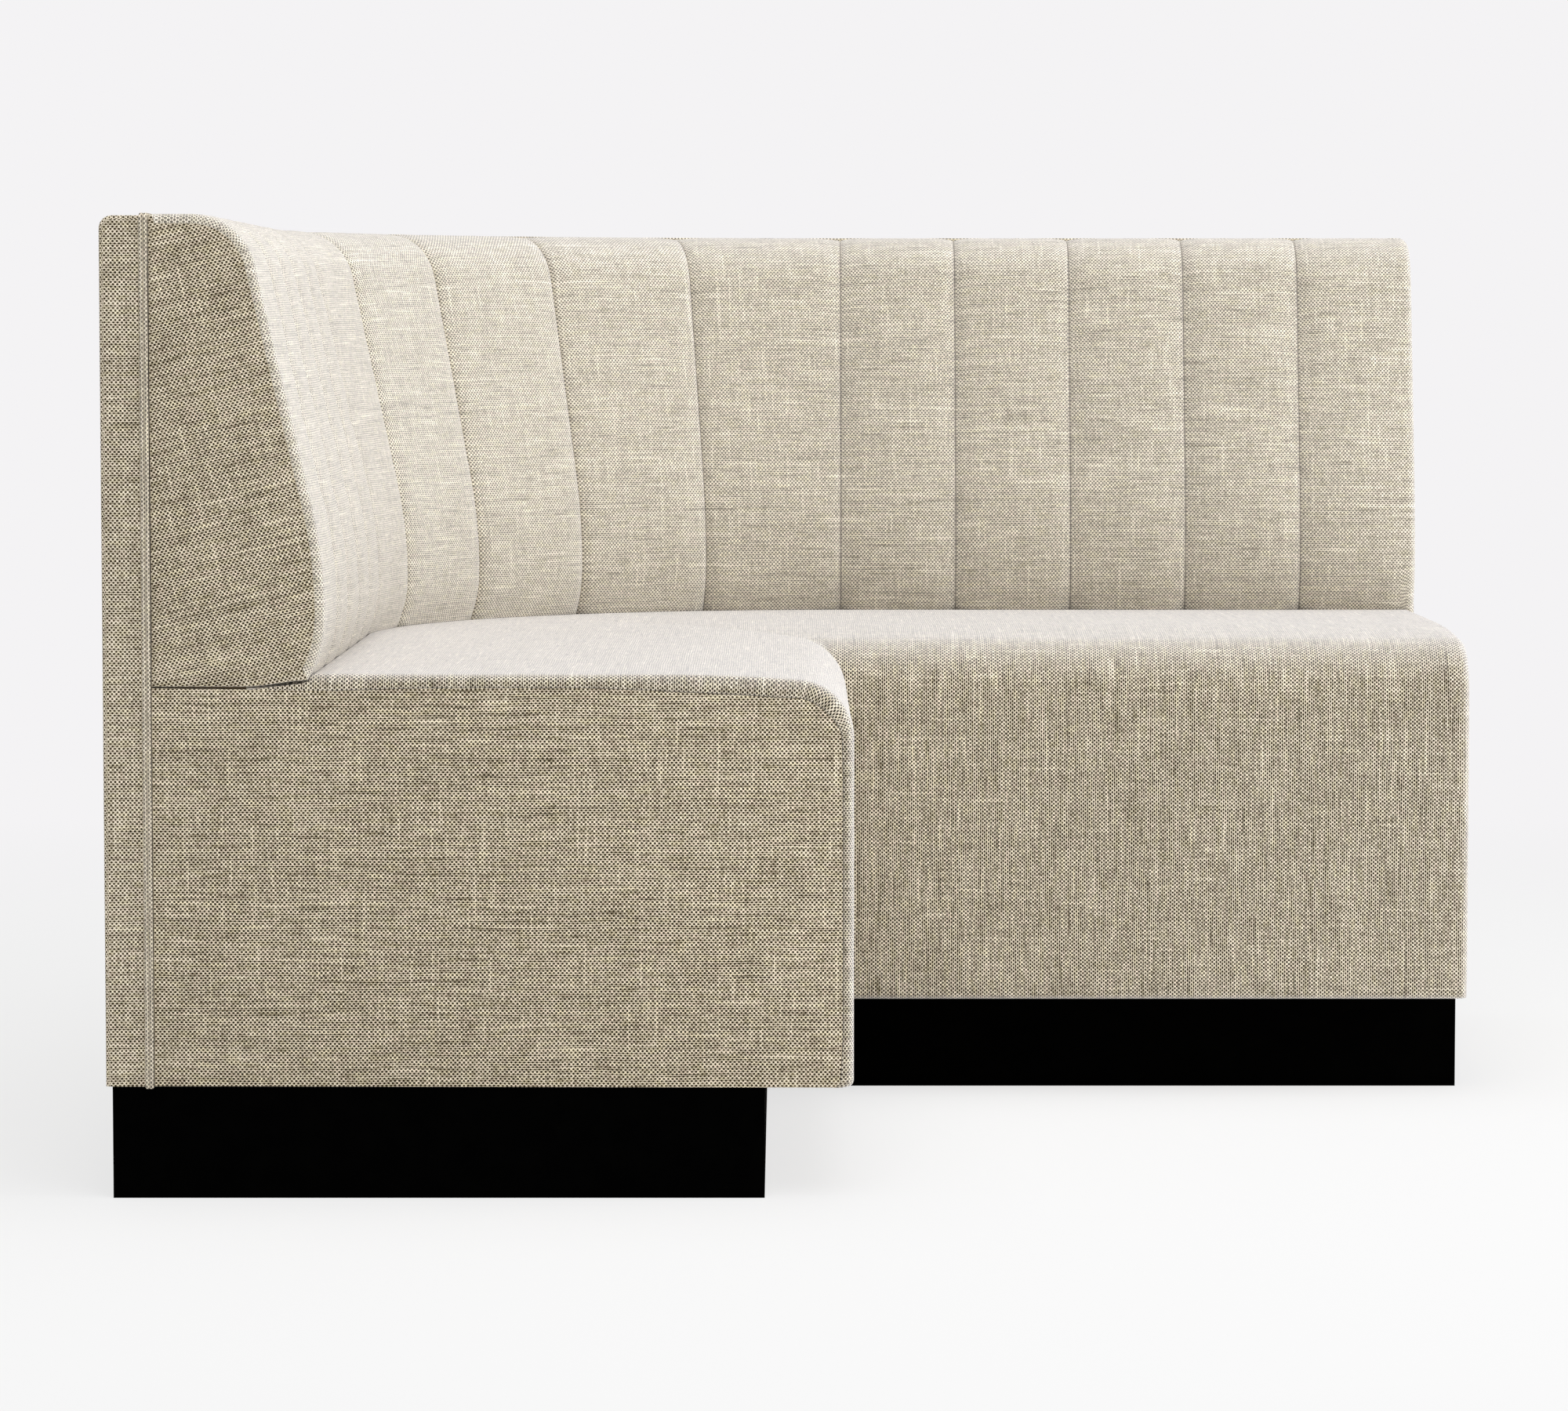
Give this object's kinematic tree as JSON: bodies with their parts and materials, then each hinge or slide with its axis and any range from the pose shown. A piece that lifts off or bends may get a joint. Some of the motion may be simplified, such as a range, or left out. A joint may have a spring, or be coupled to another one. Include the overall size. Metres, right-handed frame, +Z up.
{
  "type": "corner banquette bench",
  "caption": "L-shaped upholstered corner bench with a channel-tufted back that curves round the corner, a waterfall-edged seat and a recessed black plinth.",
  "frame": {"origin": "on the floor, under the centre of the square that holds both wings and the corner", "axes": "+Z up; the right wing runs along +X with its back facing +Y; the left wing runs along -Y with its back facing -X; sitters face -Y and +X"},
  "size_m": [1.3545, 1.3545, 0.915],
  "materials": {
    "upholstery_fabric": "plain weave of thick oatmeal yarn, matt",
    "plinth_black": "matt black",
    "plywood": "bare birch plywood",
    "softwood": "bare sawn softwood",
    "foam": "open-cell cushion foam",
    "felt": "grey needled felt",
    "spring_steel": "drawn spring wire",
    "zinc_steel": "zinc plated"
  },
  "bodies": {
    "root": {"plinth_front_right": "plinth_black", "plinth_front_left": "plinth_black", "plinth_end_right": "plinth_black", "plinth_end_left": "plinth_black", "plinth_back_right": "plinth_black", "plinth_back_left": "plinth_black", "plinth_back_corner": "plinth_black", "plinth_cross_members": "softwood", "plinth_brackets": "zinc_steel", "bracket_screws": "zinc_steel", "base_panel_right": "plywood", "base_panel_left": "plywood", "base_panel_corner": "plywood", "seat_front_board_right": "plywood", "seat_front_board_left": "plywood", "inner_corner_post": "softwood", "end_frame_right": "plywood", "end_frame_left": "plywood", "wing_frames": "plywood", "corner_frames": "plywood", "spring_rails": "softwood", "corner_deck": "plywood", "seat_springs": "spring_steel", "spring_clips": "spring_steel", "support_felt": "felt", "seat_foam_right": "foam", "seat_foam_left": "foam", "seat_foam_corner": "foam", "front_padding": "foam", "seat_cover_right": "upholstery_fabric", "seat_cover_left": "upholstery_fabric", "seat_cover_corner": "upholstery_fabric", "seat_end_panel_right": "upholstery_fabric", "seat_end_panel_left": "upholstery_fabric", "back_board": "plywood", "top_rail": "softwood", "back_ledge": "plywood", "back_liner": "plywood", "outside_back_cover_right": "upholstery_fabric", "outside_back_cover_left": "upholstery_fabric", "outside_back_cover_corner": "upholstery_fabric", "back_end_panel_right": "upholstery_fabric", "back_end_panel_left": "upholstery_fabric", "double_welt": "upholstery_fabric", "back_channel_01": "upholstery_fabric", "back_channel_02": "upholstery_fabric", "back_channel_03": "upholstery_fabric", "back_channel_04": "upholstery_fabric", "back_channel_05": "upholstery_fabric", "back_channel_06": "upholstery_fabric", "back_channel_07": "upholstery_fabric", "back_channel_08": "upholstery_fabric", "back_channel_09": "upholstery_fabric", "back_channel_10": "upholstery_fabric", "back_channel_11": "upholstery_fabric", "back_channel_12": "upholstery_fabric", "back_channel_13": "upholstery_fabric", "back_channel_14": "upholstery_fabric", "back_channel_15": "upholstery_fabric"}
  },
  "joints": []
}
